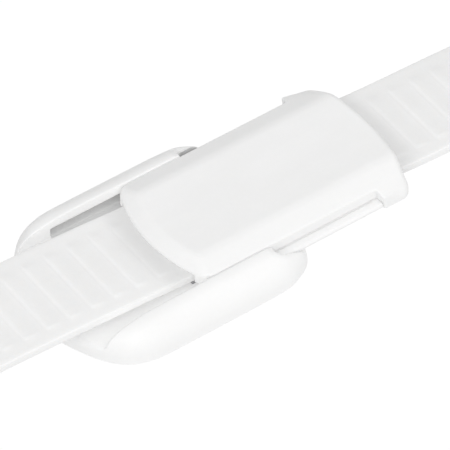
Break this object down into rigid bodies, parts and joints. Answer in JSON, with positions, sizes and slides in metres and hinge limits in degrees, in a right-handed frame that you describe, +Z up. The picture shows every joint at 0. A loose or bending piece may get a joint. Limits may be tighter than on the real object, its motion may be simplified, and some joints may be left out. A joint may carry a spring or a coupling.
{
  "type": "antistatic wrist strap",
  "caption": "Ribbed antistatic wrist band in two halves held by a slide clasp with an oval tray base, a sliding shell cover and a snap stud closure.",
  "frame": {"origin": "centre of the clasp base's underside", "axes": "+X along the band, the way the slider draws out; +Y across the band; +Z up, away from the wrist"},
  "size_m": [0.188, 0.0296, 0.0072],
  "materials": {
    "white_shell": "white moulded plastic, soft satin gloss",
    "white_band": "white flexible moulded plastic, matte",
    "steel": "brushed stainless steel",
    "spring_steel": "thin rolled spring steel"
  },
  "bodies": {
    "clasp_base": {"base_housing": "white_shell", "skin_contact_plate": "steel", "lock_cam_strip": "steel", "cam_rivets": "steel", "detent_springs": "spring_steel", "detent_rivets": "steel"},
    "slider": {"slider_cover": "white_shell", "slide_plate": "white_shell", "cover_screws": "steel", "hold_down_spring": "spring_steel", "lock_return_springs": "spring_steel"},
    "lock": {"lock_bar": "steel"},
    "left_strap": {"left_band": "white_band", "left_contact_strips": "spring_steel", "left_strip_rivets": "steel", "closure_eyelets": "steel"},
    "right_strap": {"right_band": "white_band", "right_contact_strips": "spring_steel", "right_strip_rivets": "steel", "snap_stud": "steel", "stud_washer": "steel", "skin_contact_disc": "steel"}
  },
  "joints": [
    {"name": "cover_slide", "type": "slide", "parent": "clasp_base", "child": "slider", "axis": [1, 0, 0], "range_m": [-0.0175, 0]},
    {"name": "lock_bar_lift", "type": "slide", "parent": "slider", "child": "lock", "axis": [0, 0, 1], "range_m": [0, 0.00043], "deforming": ["lock_return_springs"]},
    {"name": "left_band_adjust", "type": "slide", "parent": "slider", "child": "left_strap", "axis": [-1, 0, 0], "range_m": [0, 0.00726]},
    {"name": "right_band_adjust", "type": "slide", "parent": "slider", "child": "right_strap", "axis": [1, 0, 0], "range_m": [0, 0.00726]}
  ],
  "couplings": [
    {"joint": "lock_bar_lift", "follows": "cover_slide", "ratio": -0.024}
  ]
}
